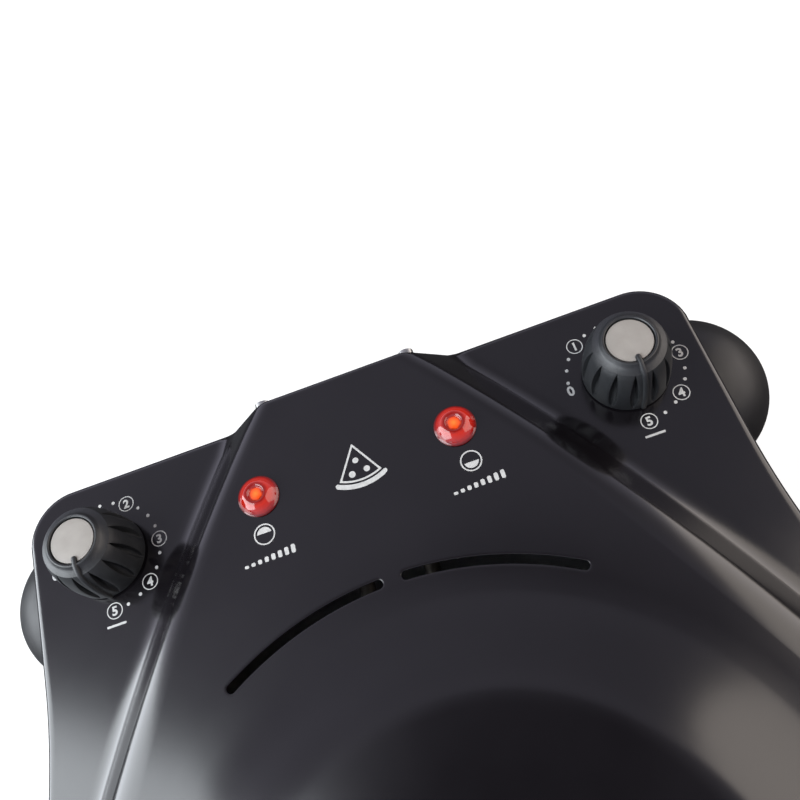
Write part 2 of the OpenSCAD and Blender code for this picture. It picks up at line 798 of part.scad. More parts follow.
// Front handle: a round grip on an arc around the lid, on two posts
module grip_arc(r) {
    rotate_extrude() translate([grip_ring_r, grip_z]) circle(r);
}
module handle_grip() {
    color(black) placed() difference() {
        union() {
            ring_piece(-90, grip_angle) translate([grip_ring_r, grip_z]) circle(grip_r);
            both_sides() rotate([0, 0, grip_angle / 2])
                translate([0, -grip_ring_r, grip_z]) sphere(grip_r + bend_swell);
        }
        both_sides() rotate([0, 0, post_angle])
            bar_y(handle_screw_r + fixed_fit, -grip_ring_r - 1, -lid_r, 0, grip_z);
    }
}
module handle_posts() {
    color(steel) placed() both_sides() difference() {
        rotate([0, 0, post_angle]) bar_y(post_r, -grip_ring_r, 8 - lid_r, 0, grip_z);
        bar_z(lid_r + 0.05, lid_z, ear_z, 0, 0);
        grip_arc(grip_r + 0.05);
        rotate([0, 0, post_angle])
            bar_y(handle_screw_r + fixed_fit, -grip_ring_r - 1, 0, 0, grip_z);
    }
}
module handle_screws() {
    color(steel) placed() both_sides() rotate([0, 0, post_angle]) {
        bar_y(handle_screw_r, -grip_ring_r, 2 - lid_in_r, 0, grip_z);
        bar_y(handle_screw_r + 2, 0.3 - lid_in_r, 2.3 - lid_in_r, 0, grip_z);
    }
}

/* Knobs */

knob_z = ear_z + pass_gap;
knob_top_z = knob_z + knob_h;
knob_rim_r = disc_r + 1.6;
disc_t = 1.6;
disc_recess = 0.6;
pointer_w = 2.4;
spindle_top_z = knob_top_z - disc_recess - disc_t - 3;
groove_l = knob_h * 0.86;
groove_tilt = asin((knob_r - knob_rim_r + 1.75) / groove_l);

// Side of the knob: a bulging curve from its foot to the rim around the disc
knob_side = [
    for (i = [0 : 8])
        let (a = 90 * i / 8)
        [knob_rim_r + (knob_r - knob_rim_r) * cos(a), knob_z + 4 + (knob_h - 4.5) * sin(a)]
];
module at_knob() {
    translate([knob_x, knob_y, 0]) rotate([0, 0, -90 + pointer_turn]) children();
}
module knob() {
    at_knob() difference() {
        union() {
            difference() {
                rotate_extrude() polygon(concat(
                    [[0, knob_z], [knob_r - 0.8, knob_z], [knob_r, knob_z + 1]],
                    knob_side,
                    [[knob_rim_r - 0.5, knob_top_z], [0, knob_top_z]]
                ));
                // grooves, wide at the foot and running out below the rim
                for (i = [0 : groove_count - 1]) rotate([0, 0, 360 * (i + 0.5) / groove_count])
                    translate([knob_r + 0.9, 0, knob_z + 3]) rotate([0, -groove_tilt, 0])
                        cylinder(r1 = 2.2, r2 = 0.7, h = groove_l, $fn = 20);
            }
            // pointer fin, from the disc's edge down to the foot
            translate([0, pointer_w / 2, 0]) rotate([90, 0, 0]) linear_extrude(pointer_w) polygon([
                [disc_r * 0.72, knob_top_z - 4], [disc_r * 0.72, knob_top_z + 0.6],
                [knob_rim_r, knob_top_z + 0.6], [knob_r, knob_top_z - knob_h * 0.4],
                [knob_r + 1.2, knob_z + 4], [knob_r + 1.2, knob_z], [0, knob_z]
            ]);
        }
        // seat of the disc, left open for the pointer's tip
        difference() {
            bar_z(disc_r + fixed_fit, knob_top_z - disc_recess - disc_t, knob_top_z + 9, 0, 0);
            translate([disc_r * 0.72, -pointer_w / 2, knob_top_z - 9]) cube([9, pointer_w, 18]);
        }
        bar_z(collar_r + 1.2, knob_z - 1, knob_z + 3, 0, 0);
        bar_z(spindle_r + fixed_fit, knob_z, spindle_top_z + fixed_fit, 0, 0);
    }
}
module left_knob() {
    color(black) placed() translate([-2 * knob_x, 0, 0]) knob();
}
module right_knob() {
    color(black) placed() knob();
}
module knob_disc() {
    z = knob_top_z - disc_recess - disc_t;
    at_knob() difference() {
        bar_z(disc_r, z, z + disc_t, 0, 0);
        translate([disc_r * 0.72 - fixed_fit, -pointer_w / 2 - fixed_fit, z - 1])
            cube([9, pointer_w + 2 * fixed_fit, disc_t + 2]);
    }
}
module left_knob_disc() {
    color("#cfc6bb") placed() translate([-2 * knob_x, 0, 0]) knob_disc();
}
module right_knob_disc() {
    color("#cfc6bb") placed() knob_disc();
}
module spindle() {
    bar_z(spindle_r, spindle_foot_z, spindle_top_z, knob_x, knob_y);
}
module left_spindle() {
    color(steel) placed() scale_x(-1) spindle();
}
module right_spindle() {
    color(steel) placed() spindle();
}

base_shell();
base_liner();
baking_stone();
stone_rests();
lower_element();
lower_element_saddles();
hinge_block();
hinge_block_cover();
left_hinge_cap();
right_hinge_cap();
hinge_pins();
base_terminal_block();
base_wiring();
cord_bushing();
feet();
foot_screws();
lid_shell();
lid_liner();
heat_shield();
upper_element();
upper_element_hangers();
control_cover();
cover_screws();
left_hinge_arm();
right_hinge_arm();
arm_screws();
left_thermostat();
right_thermostat();
left_lamp_lens();
right_lamp_lens();
left_lamp_holder();
right_lamp_holder();
lamp_nuts();
lid_terminal_block();
lid_wiring();
handle_grip();
handle_posts();
handle_screws();
left_knob();
right_knob();
left_knob_disc();
right_knob_disc();
left_spindle();
right_spindle();
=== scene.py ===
"""An electric pizza maker: a round steel oven with a baking stone under a hinged lid.

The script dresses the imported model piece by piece: the studio, the lid with its marks, knobs
and pilot lamps, the hinge, the pan, the handle, and what the open lid shows. Meshes are made in
millimetres and scaled to metres when each piece is finished.
"""

import math

import bmesh
import bpy
from mathutils import Euler, Matrix, Vector


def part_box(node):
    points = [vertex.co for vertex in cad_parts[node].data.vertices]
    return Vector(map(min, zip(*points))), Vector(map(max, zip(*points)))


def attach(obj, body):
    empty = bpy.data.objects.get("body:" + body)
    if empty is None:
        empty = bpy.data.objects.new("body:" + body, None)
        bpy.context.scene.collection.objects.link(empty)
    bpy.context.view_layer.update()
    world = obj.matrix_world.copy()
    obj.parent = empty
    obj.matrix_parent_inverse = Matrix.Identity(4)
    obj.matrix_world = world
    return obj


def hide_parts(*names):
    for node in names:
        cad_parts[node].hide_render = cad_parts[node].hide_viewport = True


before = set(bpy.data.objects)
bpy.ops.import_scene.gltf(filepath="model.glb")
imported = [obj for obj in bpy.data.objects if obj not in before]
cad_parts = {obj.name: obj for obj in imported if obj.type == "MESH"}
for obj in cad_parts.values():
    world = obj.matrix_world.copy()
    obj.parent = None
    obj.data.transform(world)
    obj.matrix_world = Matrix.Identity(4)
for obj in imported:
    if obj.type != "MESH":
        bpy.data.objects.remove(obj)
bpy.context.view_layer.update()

# ---------------------------------------------------------------------------------------------
# Studio: the camera stands over the front of the lid and looks down at the controls, a little
# turned. A tall soft light at the left and a weak one at the right leave the rear and the
# ceiling dim, over a white floor that shows the object's soft shadow.
MM = 0.001
FULL_TURN = 2 * math.pi


def linear(code):
    """A hex colour such as "#8a8a8a" as linear red, green, blue and alpha."""
    parts = [int(code[i:i + 2], 16) / 255 for i in (1, 3, 5)]
    return [p / 12.92 if p <= 0.04045 else ((p + 0.055) / 1.055) ** 2.4 for p in parts] + [1]


def add(tree, kind, settings=None, links=None):
    """A new shader node with its settings, on properties or sockets, and its incoming links."""
    node = tree.nodes.new("ShaderNode" + kind)
    for name, value in (settings or {}).items():
        if isinstance(name, str) and hasattr(node, name):
            setattr(node, name, value)
        else:
            node.inputs[name].default_value = value
    for name, source in (links or {}).items():
        tree.links.new(source, node.inputs[name])
    return node


def show(obj):
    bpy.context.scene.collection.objects.link(obj)
    return obj


bpy.context.scene.view_settings.view_transform = "Standard"

camera_data = bpy.data.cameras.new("camera")
camera_data.sensor_width = 36
camera_data.lens = 37.35
camera_data.clip_start = 0.01
camera = show(bpy.data.objects.new("camera", camera_data))
camera.location = (0.0371, 0.05255, 0.47234)
camera.rotation_euler = Euler([math.radians(turn) for turn in (24.131, 10.371, -17.110)])
bpy.context.scene.camera = camera


def soft_light(name, corner, along, across, strength, colour):
    """A rectangular soft light with a corner, two edge vectors and a radiance; it faces down."""
    corner, along, across = Vector(corner), Vector(along), Vector(across)
    across = (across - across.project(along)).normalized() * across.length
    light = bpy.data.lights.new(name, "AREA")
    light.shape = "RECTANGLE"
    light.size = along.length
    light.size_y = across.length
    light.energy = strength * math.pi * along.length * across.length
    light.color = linear(colour)[:3]
    lamp = show(bpy.data.objects.new(name, light))
    x = along.normalized()
    z = x.cross(across).normalized()
    z = z if z.z > 0 else -z
    turn = Matrix((x, z.cross(x), z)).transposed().to_4x4()
    lamp.matrix_world = Matrix.Translation(corner + (along + across) / 2) @ turn
    lamp.visible_camera = False


soft_light("left_light", (-0.38, 0.142, 1.21), (-1.51, 1.13, -1.15), (0, -1.6, 0), 6.6, "#f4fbff")
soft_light("right_light", (0.45, 0.147, 1.3), (1.4, 1.24, -1.2), (0, -1.4, 0), 2.4, "#fff3e6")

world = bpy.data.worlds.new("studio")
world.use_nodes = True
world.node_tree.nodes.clear()
bpy.context.scene.world = world
tree = world.node_tree
rays = add(tree, "LightPath")
direction = add(tree, "TexCoord")
split = add(tree, "SeparateXYZ", links={0: direction.outputs["Generated"]})
sideways = add(tree, "MapRange", {"From Min": -0.6, "From Max": 0.4, "To Min": 0.6, "To Max": 0.36},
               {"Value": split.outputs["X"]})
zenith = add(tree, "MapRange", {"From Min": 0.955, "From Max": 0.983, "To Min": 1.0, "To Max": 0.05},
             {"Value": split.outputs["Z"]})
horizon = add(tree, "MapRange", {"From Min": 0.1, "From Max": 0.6, "To Min": 2.3, "To Max": 1.0},
              {"Value": split.outputs["Z"]})
glossy_level = add(tree, "Math", {"operation": "MULTIPLY"},
                   {0: sideways.outputs[0], 1: zenith.outputs[0]})
glossy_level = add(tree, "Math", {"operation": "MULTIPLY"},
                   {0: glossy_level.outputs[0], 1: horizon.outputs[0]})
mirrored = add(tree, "Math", {"operation": "MAXIMUM"},
               {0: rays.outputs["Is Glossy Ray"], 1: rays.outputs["Is Transmission Ray"]})
dim = add(tree, "Mix", {"data_type": "FLOAT", 2: 0.3},
          {0: mirrored.outputs[0], 3: glossy_level.outputs[0]})
level = add(tree, "Math", {"operation": "MAXIMUM"},
            {0: rays.outputs["Is Camera Ray"], 1: dim.outputs[0]})
tint = add(tree, "Mix", {"data_type": "RGBA", 6: linear("#eceaff"), 7: linear("#ffffff")},
           {0: rays.outputs["Is Camera Ray"]})
sky = add(tree, "Background", links={"Color": tint.outputs[2], "Strength": level.outputs[0]})
add(tree, "OutputWorld", links={"Surface": sky.outputs[0]})

floor_mesh = bmesh.new()
bmesh.ops.create_circle(floor_mesh, cap_ends=True, segments=64, radius=12)
mesh = bpy.data.meshes.new("floor")
floor_mesh.to_mesh(mesh)
floor_mesh.free()
floor = show(bpy.data.objects.new("floor", mesh))
floor.location.z = -0.0002
material = bpy.data.materials.new("white_floor")
material.use_nodes = True
tree = material.node_tree
tree.nodes.clear()
rays = add(tree, "LightPath")
seen = add(tree, "Math", {"operation": "ADD", "use_clamp": True},
           {0: rays.outputs["Is Camera Ray"], 1: rays.outputs["Is Transmission Ray"]})
shade = add(tree, "Mix", {"data_type": "RGBA", 6: linear("#4c4c4e"), 7: linear("#f0f0f0")},
            {0: seen.outputs[0]})
paper = add(tree, "BsdfDiffuse", links={"Color": shade.outputs[2]})
glow = add(tree, "Emission", {"Color": linear("#ffffff"), "Strength": 1.25})
place = add(tree, "TexCoord")
distance = add(tree, "VectorMath", {"operation": "LENGTH"}, {0: place.outputs["Object"]})
glow_share = add(tree, "MapRange", {"From Min": 0.35, "From Max": 0.8, "To Min": 0.66, "To Max": 1.0},
                 {"Value": distance.outputs["Value"]})
lit = add(tree, "MixShader", links={0: glow_share.outputs[0], 1: paper.outputs[0],
                                    2: glow.outputs[0]})
surface = add(tree, "MixShader", links={0: seen.outputs[0], 1: paper.outputs[0], 2: lit.outputs[0]})
add(tree, "OutputMaterial", links={"Surface": surface.outputs[0]})
floor.data.materials.append(material)

# ---------------------------------------------------------------------------------------------
# Lid: one deep-drawn steel pressing with a raised middle, a shallow dome and two curved vent
# slots. It is powder coated in satin brown-black, which mirrors large lights as soft patches.
lid_low, lid_high = (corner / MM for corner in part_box("lid_shell"))
lid_r = (lid_high.x - lid_low.x) / 2
axis_y = lid_low.y + lid_r
rear_y = lid_high.y - axis_y
ear_z = lid_low.z + 42
middle_z = ear_z + 18
ear_x = 152
corner_r = 22
flare_y = 150
middle_r = lid_r - 28
wall_run = 15
middle_half_w = 32
bow_r = 850
sheet = 1.2
lamp_hole_r = 6.3
bush_hole_r = 4.9


def arc(centre, r, start, end, steps):
    """Points along an arc between two angles in degrees, without its last point."""
    turns = [math.radians(start + (end - start) * i / steps) for i in range(steps)]
    return [(centre[0] + r * math.cos(t), centre[1] + r * math.sin(t)) for t in turns]


def mirrored_chain(half):
    """A right half outline, read from the rear to the front, with its mirror image added."""
    return half + [(-x, y) for x, y in reversed(half) if x > 0.001]


corner_dist = math.hypot(middle_half_w, rear_y)
bow_reach = ((2 * bow_r * middle_r - middle_r ** 2 - corner_dist ** 2) / (2 * (bow_r - middle_r)))
bow_angle = math.degrees(math.atan2(rear_y, middle_half_w) - math.acos(bow_reach / corner_dist))
bow_x = -(bow_r - middle_r) * math.cos(math.radians(bow_angle))
bow_y = -(bow_r - middle_r) * math.sin(math.radians(bow_angle))


def middle_outline(margin):
    """Edge of the raised middle, from the rear right corner round the front, widened."""
    r = bow_r + margin
    start = math.degrees(math.asin((rear_y - bow_y) / r))
    return mirrored_chain(
        arc((bow_x, bow_y), r, start, bow_angle, 14)
        + arc((0, 0), middle_r + margin, bow_angle, -90, 56)
        + [(0, -(middle_r + margin))]
    )


foot_line = middle_outline(wall_run)
flare_r = (ear_x ** 2 + flare_y ** 2 - lid_r ** 2) / (2 * (lid_r - ear_x))
flare_angle = math.degrees(math.atan2(flare_y, ear_x + flare_r))
lid_line = mirrored_chain(
    [foot_line[0]]
    + arc((ear_x - corner_r, rear_y - corner_r), corner_r, 90, 0, 16)
    + arc((ear_x + flare_r, flare_y), flare_r, 180, 180 + flare_angle, 16)
    + arc((0, 0), lid_r, flare_angle, -90, 64)
    + [(0, -lid_r)]
)

bm = bmesh.new()
bevel_weight = bm.edges.layers.float.new("bevel_weight_edge")
crease_width = 12


def chain_edges(chain):
    return [bm.edges.get(pair) or bm.edges.new(pair) for pair in zip(chain, chain[1:])]


rim = [bm.verts.new((x, y, ear_z)) for x, y in lid_line]
foot = [rim[0]] + [bm.verts.new((x, y, ear_z)) for x, y in foot_line[1:-1]] + [rim[-1]]
rim_edges = chain_edges(rim)
foot_edges = chain_edges(foot)
bm.faces.new(rim + foot[-2:0:-1])
grown = bmesh.ops.extrude_edge_only(bm, edges=foot_edges)["geom"]
top = [v for v in grown if isinstance(v, bmesh.types.BMVert)]
top.sort(key=lambda v: min(range(len(foot)), key=lambda i: (foot[i].co - v.co).length))
for vert, (x, y) in zip(top, middle_outline(0)):
    vert.co = (x, y, middle_z)
grown = bmesh.ops.extrude_edge_only(bm, edges=rim_edges)["geom"]
skirt = [v for v in grown if isinstance(v, bmesh.types.BMVert)]
bmesh.ops.translate(bm, verts=skirt, vec=(0, 0, lid_low.z - ear_z))
skirt_ends = [
    next(v for v in skirt if abs(v.co.x - end.co.x) + abs(v.co.y - end.co.y) < 0.01)
    for end in (rim[0], rim[-1])
]
bm.faces.new(top)
bm.faces.new([top[0], rim[0], skirt_ends[0], skirt_ends[1], rim[-1], top[-1]])
bmesh.ops.recalc_face_normals(bm, faces=bm.faces)
for edges, front_width, rear_width in (
    (foot_edges, 4.5, 5.5),
    (chain_edges(top), 8, 5),
    (rim_edges, 3.2, 3.2),
    ([bm.edges.get(pair) for pair in ((top[0], top[-1]), (rim[0], top[0]), (rim[-1], top[-1]))],
     3.2, 3.2),
):
    for edge in edges:
        reach = min(1, max(0, ((edge.verts[0].co.y + edge.verts[1].co.y) / 2 - 100) / 75))
        edge[bevel_weight] = (front_width + (rear_width - front_width) * reach) / crease_width


def modified(bm, *modifiers):
    """The mesh with modifiers applied, each a type and its settings, as a new bmesh."""
    mesh = bpy.data.meshes.new("work")
    bm.to_mesh(mesh)
    bm.free()
    work = show(bpy.data.objects.new("work", mesh))
    for kind, settings in modifiers:
        modifier = work.modifiers.new(kind.lower(), kind)
        for name, value in settings.items():
            setattr(modifier, name, value)
    graph = bpy.context.evaluated_depsgraph_get()
    result = bmesh.new()
    result.from_mesh(bpy.data.meshes.new_from_object(work.evaluated_get(graph)))
    bpy.data.objects.remove(work)
    return result


bm = modified(bm, ("BEVEL", {"width": crease_width, "limit_method": "WEIGHT", "segments": 6,
                             "use_clamp_overlap": False, "loop_slide": True}))


def closed_loop(points, z):
    """A closed ring of edges through the points at one height."""
    verts = [bm.verts.new((x, y, z)) for x, y in points]
    return [bm.edges.new((a, b)) for a, b in zip(verts, verts[1:] + verts[:1])]


def pierce(face, holes):
    """Gives a flat face a narrow border, and rings of edges in its plane as holes."""
    bmesh.ops.inset_region(bm, faces=[face], thickness=0.8, use_even_offset=True)
    border = list(face.edges)
    normal = face.normal.copy()
    bmesh.ops.delete(bm, geom=[face], context="FACES_ONLY")
    bmesh.ops.triangle_fill(bm, use_beauty=True, edges=border + holes, normal=normal)


# The slots' punched edges roll in a little. The dome is spun and has soft creases.
slot_r = middle_r - 11
slot_w = 3.5
slot_from, slot_to = 59.8, 87.7
holes = []
for side in (1, -1):
    edges = None
    for grow, drop in ((0.9, 0), (0.4, 0), (0.12, 0.12), (0, 0.4)):
        half = slot_w / 2 + grow
        ends = [(slot_r * math.cos(math.radians(a)), slot_r * math.sin(math.radians(a)))
                for a in (slot_to, slot_from)]
        outline = (
            arc((0, 0), slot_r + half, slot_from, slot_to, 24)
            + arc(ends[0], half, slot_to, slot_to + 180, 10)
            + arc((0, 0), slot_r - half, slot_to, slot_from, 24)
            + arc(ends[1], half, slot_from + 180, slot_from + 360, 10)
        )
        ring = closed_loop([(side * x, y) for x, y in outline], middle_z - drop)
        if edges is None:
            holes += ring
        else:
            bmesh.ops.bridge_loops(bm, edges=edges + ring)
        edges = ring

dome_r = middle_r - 19
dome_rise = lid_high.z - middle_z
dome_side = [(dome_r + 4.8, 0), (dome_r + 4, 0), (dome_r - 3, 0.005), (dome_r - 8, 0.04),
             (dome_r - 12.5, 0.12), (dome_r - 17, 0.25), (dome_r - 21.5, 0.42),
             (dome_r - 26.5, 0.62), (dome_r - 30, 0.755), (dome_r - 33, 0.84),
             (dome_r - 36, 0.895), (dome_r - 39, 0.927), (dome_r - 43.5, 0.947),
             (60, 0.969), (30, 0.992), (0, 1)]
profile = [bm.verts.new((r, 0, middle_z + rise * dome_rise)) for r, rise in dome_side]
edges = chain_edges(profile)
bmesh.ops.spin(bm, geom=profile + edges, cent=(0, 0, 0), axis=(0, 0, 1),
               angle=FULL_TURN, steps=160, use_merge=True)
bmesh.ops.remove_doubles(bm, verts=bm.verts, dist=0.001)
holes += [
    e for e in bm.edges
    if len(e.link_faces) == 1 and all(abs(v.co.z - middle_z) < 1e-3
                                      and abs(v.co.xy.length - dome_side[0][0]) < 1e-2 for v in e.verts)
]
lamp_x, lamp_y = [(low + high) / 2 / MM for low, high in zip(*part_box("right_lamp_lens"))][:2]
knob_x, knob_y = [(low + high) / 2 / MM for low, high in zip(*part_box("right_spindle"))][:2]
lamp_y -= axis_y
knob_y -= axis_y
for x in (-lamp_x, lamp_x):
    circle = bmesh.ops.create_circle(bm, segments=32, radius=lamp_hole_r,
                                     matrix=Matrix.Translation((x, lamp_y, middle_z)))
    holes += {e for v in circle["verts"] for e in v.link_edges}
flats = [f for f in bm.faces if f.normal.z > 0.9999 and len(f.verts) > 60]
middle_face = next(f for f in flats if f.calc_center_median().z > middle_z - 1)
ear_face = next(f for f in flats if f.calc_center_median().z < ear_z + 1)
pierce(middle_face, holes)
holes = []
for x in (-knob_x, knob_x):
    circle = bmesh.ops.create_circle(bm, segments=32, radius=bush_hole_r,
                                     matrix=Matrix.Translation((x, knob_y, ear_z)))
    holes += {e for v in circle["verts"] for e in v.link_edges}
pierce(ear_face, holes)
bmesh.ops.translate(bm, verts=bm.verts, vec=(0, axis_y, 0))
bmesh.ops.remove_doubles(bm, verts=bm.verts, dist=0.001)
bmesh.ops.recalc_face_normals(bm, faces=bm.faces)
bm = modified(bm, ("SOLIDIFY", {"thickness": sheet, "offset": -1, "use_even_offset": False}))


def finish(name, bm, material, body, replaced=(), sharp=38):
    """Turns a mesh in millimetres into a piece that rides on a body and stands for nodes."""
    bmesh.ops.scale(bm, verts=bm.verts, vec=(MM, MM, MM))
    mesh = bpy.data.meshes.new(name)
    bm.to_mesh(mesh)
    bm.free()
    mesh.shade_smooth()
    mesh.set_sharp_from_angle(angle=math.radians(sharp))
    mesh.materials.append(material)
    obj = show(bpy.data.objects.new(name, mesh))
    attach(obj, body)
    if replaced:
        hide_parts(*replaced)
    return obj


def surface_of(name, settings):
    """A material with one Principled shader, its node tree and that shader."""
    material = bpy.data.materials.new(name)
    material.use_nodes = True
    tree = material.node_tree
    tree.nodes.clear()
    shader = add(tree, "BsdfPrincipled", settings)
    add(tree, "OutputMaterial", links={"Surface": shader.outputs[0]})
    return material, tree, shader


def spread(tree, scale_mm, detail=2.0):
    """Noise over the object's own coordinates whose grains measure about scale_mm."""
    place = add(tree, "TexCoord")
    return add(tree, "TexNoise", {"Scale": 1 / (scale_mm * MM), "Detail": detail},
               {"Vector": place.outputs["Object"]})


def blend_colours(tree, shader, noise, low, high, dark, light):
    """Lets the noise run between two hex colours on the shader's base colour."""
    ramp = add(tree, "ValToRGB", links={0: noise.outputs["Fac"]})
    ramp.color_ramp.elements[0].position = low
    ramp.color_ramp.elements[0].color = linear(dark)
    ramp.color_ramp.elements[1].position = high
    ramp.color_ramp.elements[1].color = linear(light)
    tree.links.new(ramp.outputs[0], shader.inputs["Base Color"])


def grain(tree, shader, noise, height_mm, strength=1.0):
    """Raises the surface by the noise, by about height_mm."""
    bump = add(tree, "Bump", {"Distance": height_mm * MM, "Strength": strength},
               {"Height": noise.outputs["Fac"]})
    tree.links.new(bump.outputs[0], shader.inputs["Normal"])


def vary_roughness(tree, shader, noise, smooth, rough):
    reach = add(tree, "MapRange", {"From Min": 0.3, "From Max": 0.7, "To Min": smooth,
                                   "To Max": rough}, {"Value": noise.outputs["Fac"]})
    tree.links.new(reach.outputs[0], shader.inputs["Roughness"])


# Satin powder coat on steel: a soft sheen with faint cloudy patches and a fine orange peel.
powder_coat, tree, shader = surface_of("satin_powder_coat", {"IOR": 1.6})
blend_colours(tree, shader, spread(tree, 45), 0.35, 0.65, "#0f0d10", "#121013")
vary_roughness(tree, shader, spread(tree, 30, 4), 0.155, 0.19)
grain(tree, shader, spread(tree, 0.9), 0.004)
finish("lid_pressing", bm, powder_coat, "lid", ["lid_shell"])

# ---------------------------------------------------------------------------------------------
# Printed marks: dial numbers in rings, dots, half filled rings for the two elements, heat
# scales and a pizza slice, silk-screened in pale grey ink on the lid's flat faces.
bm = bmesh.new()
mark_z = middle_z
dial_r = 24


def circle_at(x, y, r, segments=40):
    """A closed ring of vertices and edges at the current height of the marks."""
    circle = bmesh.ops.create_circle(bm, segments=segments, radius=r,
                                     matrix=Matrix.Translation((x, y, mark_z)))
    return list({e for v in circle["verts"] for e in v.link_edges})


def ring_mark(x, y, r, width=0.5):
    bmesh.ops.bridge_loops(bm, edges=circle_at(x, y, r + width / 2) + circle_at(x, y, r - width / 2))


def dot_mark(x, y, r=0.75):
    bmesh.ops.contextual_create(bm, geom=circle_at(x, y, r, 20))


def filled_mark(points):
    return bm.faces.new([bm.verts.new((x, y, mark_z)) for x, y in points])


def outline_mark(points, width):
    """A line of even width along the inside of a closed outline."""
    face = filled_mark(points)
    face.normal_update()
    bmesh.ops.inset_region(bm, faces=[face], thickness=width, use_boundary=True,
                           use_even_offset=True)
    bmesh.ops.delete(bm, geom=[face], context="FACES")


def bar_mark(x, y, width, height):
    """An upright bar with round corners, standing on the given point."""
    r = min(width, height) * 0.4
    left, right, low, high = x - width / 2, x + width / 2, y, y + height
    filled_mark(
        arc((right - r, low + r), r, -90, 0, 4) + arc((right - r, high - r), r, 0, 90, 4)
        + arc((left + r, high - r), r, 90, 180, 4) + arc((left + r, low + r), r, 180, 270, 4)
    )


def digit_mark(text, x, y, size=5.3):
    curve = bpy.data.curves.new("digit", "FONT")
    curve.body = text
    curve.size = size
    curve.offset = 0.034 * size
    curve.align_x = "CENTER"
    curve.resolution_u = 4
    letter = show(bpy.data.objects.new("digit", curve))
    graph = bpy.context.evaluated_depsgraph_get()
    outline = bpy.data.meshes.new_from_object(letter.evaluated_get(graph))
    bpy.data.objects.remove(letter)
    low = min(v.co.y for v in outline.vertices)
    high = max(v.co.y for v in outline.vertices)
    before = len(bm.verts)
    bm.from_mesh(outline)
    bm.verts.ensure_lookup_table()
    bmesh.ops.translate(bm, verts=bm.verts[before:], vec=(x, y - (low + high) / 2, mark_z))


def dial_marks(side, numbers, dots):
    """Marks on a circle around a knob, by clock angles in degrees from the rear."""
    for angle, text in numbers:
        turn = math.radians(angle)
        x = side * knob_x + dial_r * math.sin(turn)
        y = knob_y + dial_r * math.cos(turn)
        if text == "0":
            digit_mark(text, x, y, 5.9)
        else:
            digit_mark(text, x, y, 5.3)
            ring_mark(x, y, 3.3, 0.42)
    for angle in dots:
        turn = math.radians(angle)
        dot_mark(side * knob_x + dial_r * math.sin(turn), knob_y + dial_r * math.cos(turn))
    bar_mark(side * knob_x, knob_y - 30.6, 8.6, 1.0)


for side, first in ((-1, 1), (1, -1)):
    icon_x, icon_y = side * 43.3, lamp_y - 16
    ring_mark(icon_x, icon_y, 4.1, 0.55)
    filled_mark(arc((icon_x, icon_y), 3.0, 90 - first * 90 + 8, 90 - first * 90 + 172, 20)
                + arc((icon_x, icon_y), 3.0, 90 - first * 90 + 172, 90 - first * 90 + 173, 1))
    for bar in range(8):
        bar_mark(icon_x - 9.8 + 2.8 * bar, icon_y - 11.2, 1.7, 1.2 + 0.34 * bar)
slice_low = lamp_y - 6.2
outline_mark([(0, lamp_y + 8.2)] + arc((0, slice_low + 18), 20.1, 243.7, 296.3, 12)
             + [(8.9, slice_low)], 0.8)
filled_mark(arc((0, slice_low + 18), 22.9, 242.5, 297.5, 16) + arc((9.9, slice_low - 1.4), 1.0, -30, 90, 4)
            + arc((0, slice_low + 18), 20.9, 297.5, 242.5, 16)
            + arc((-9.9, slice_low - 1.4), 1.0, 90, 210, 4))
for x, y, r in ((-0.3, 1.9, 1.25), (-3.1, -3.4, 1.4), (3.2, -3.0, 1.3)):
    dot_mark(x, lamp_y + y - 1.2, r)
mark_z = ear_z
dial_numbers = ((-90, "0"), (-38, "1"), (30, "2"), (90, "3"), (135, "4"), (180, "5"))
dial_marks(-1, dial_numbers, (-77, -64, -51, -24, -12, 0, 15, 45, 60, 75, 105, 120, 150, 165))
dial_marks(1, dial_numbers, (-81, -67, -54, -22, -8, 8, 48, 62, 77, 108, 120, 147, 162))
bmesh.ops.translate(bm, verts=bm.verts, vec=(0, axis_y, 0.06))
bmesh.ops.recalc_face_normals(bm, faces=bm.faces)
for face in bm.faces:
    if face.normal.z < 0:
        face.normal_flip()
bm = modified(bm, ("SOLIDIFY", {"thickness": 0.05, "offset": -1}))
# Pale grey screen ink: flat and dry, a little uneven in cover.
pale_ink, tree, shader = surface_of("pale_grey_ink", {"Roughness": 0.55})
blend_colours(tree, shader, spread(tree, 1.4), 0.3, 0.6, "#b2b2b0", "#c0c0be")
grain(tree, shader, spread(tree, 0.25), 0.006)
finish("printed_marks", bm, pale_ink, "lid")

# ---------------------------------------------------------------------------------------------
# Knobs: moulded in soft grey plastic with a fine spark-eroded grain. Thirteen grooves cut the
# bulging side, and a fin runs from the pale disc in the top down to the foot as a pointer.
knob_low, knob_high = (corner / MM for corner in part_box("right_knob"))
foot_z = knob_low.z
top_z = knob_high.z - 0.6
knob_h = top_z - foot_z
GROOVES = 13
COLUMNS = 16
groove_l = knob_h * 0.86
groove_lean = 8.75
groove_tilt = math.asin(groove_lean / groove_l)
groove_foot_r = 18.9


def turned_mesh(outline, base_z, steps):
    """A shape turned about the upright axis from its outline of radius and height."""
    bm = bmesh.new()
    verts = [bm.verts.new((r, 0, base_z + z)) for r, z in outline]
    edges = [bm.edges.new(pair) for pair in zip(verts, verts[1:])]
    bmesh.ops.spin(bm, geom=verts + edges, axis=(0, 0, 1), angle=FULL_TURN, steps=steps, use_merge=True)
    bmesh.ops.remove_doubles(bm, verts=bm.verts, dist=0.001)
    return bm


def side_r(z):
    """Radius of the bulging side at a height."""
    rise = min(1.0, max(0.0, (z - foot_z - 4) / (knob_h - 4.5)))
    return 11 + 7 * math.sqrt(1 - rise * rise)


